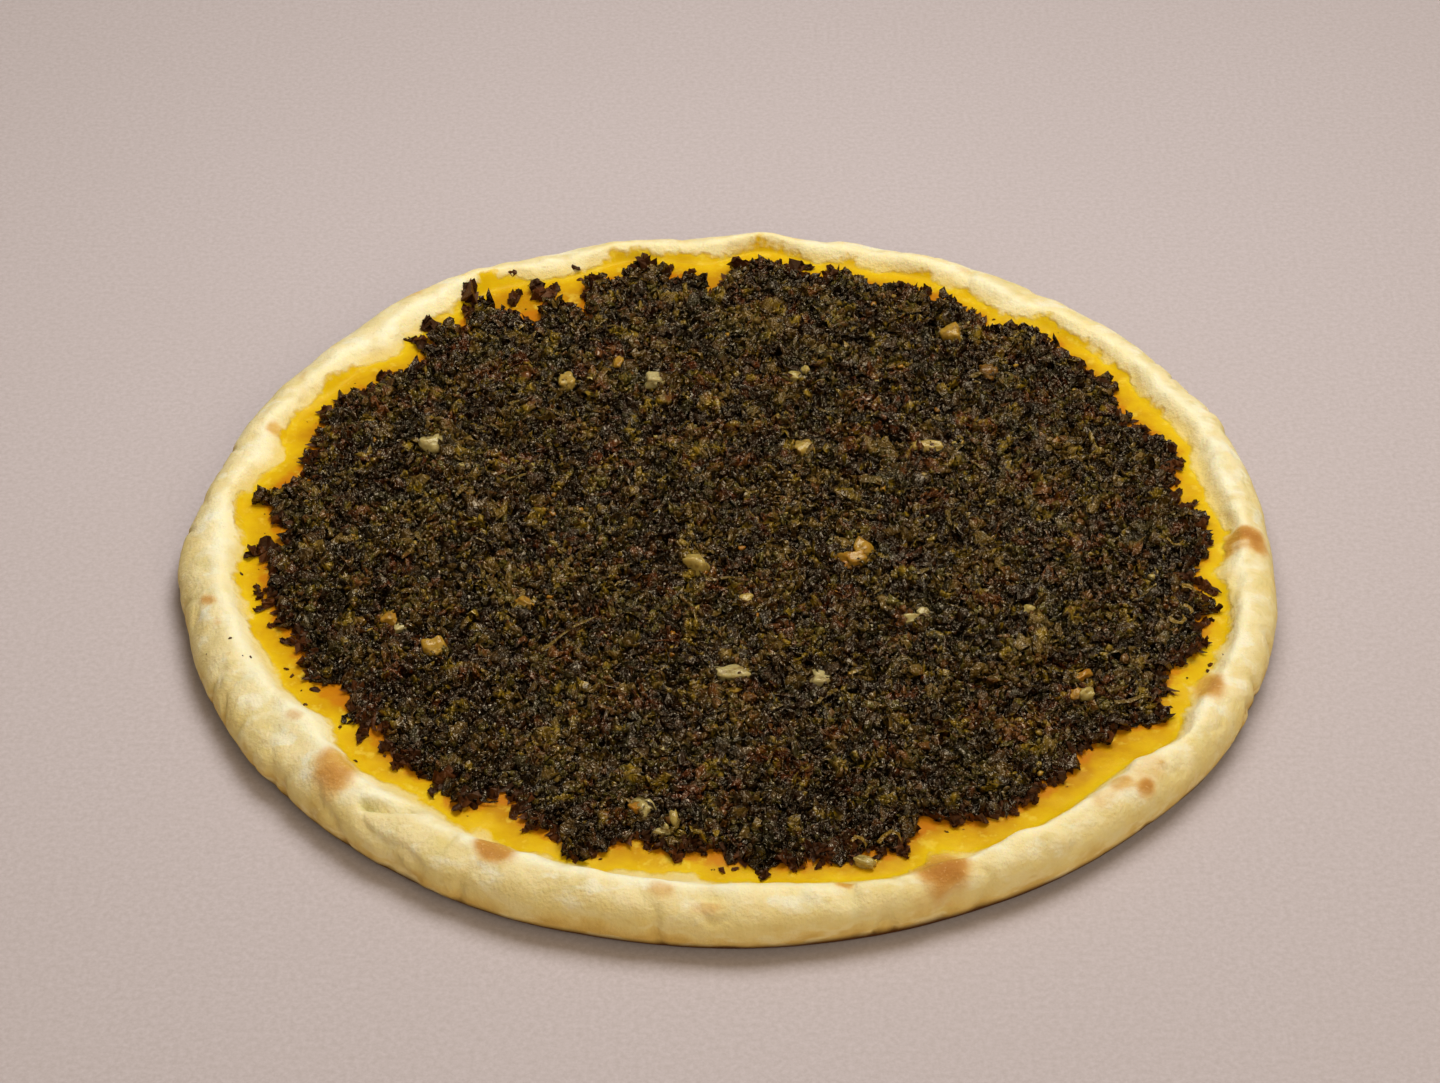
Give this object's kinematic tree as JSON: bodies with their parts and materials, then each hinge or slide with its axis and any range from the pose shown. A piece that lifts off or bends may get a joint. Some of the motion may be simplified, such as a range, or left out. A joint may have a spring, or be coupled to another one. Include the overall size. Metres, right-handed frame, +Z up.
{
  "type": "spinach manakish",
  "caption": "Round baked flatbread with a puffed pale rim and a flat well covered with a thin layer of dark chopped spinach and diced onion in oil.",
  "frame": {"origin": "under the middle of the bread's outline, on the surface that it lies on", "axes": "+Z up through the thickness; -Y is the front edge of the pictured view and +X its right"},
  "size_m": [0.2603, 0.2592, 0.0138],
  "materials": {
    "baked_dough": "satin",
    "baked_spinach": "satin",
    "fried_onion": "satin"
  },
  "bodies": {
    "root": {"bread": "baked_dough", "spinach": "baked_spinach"}
  },
  "joints": []
}
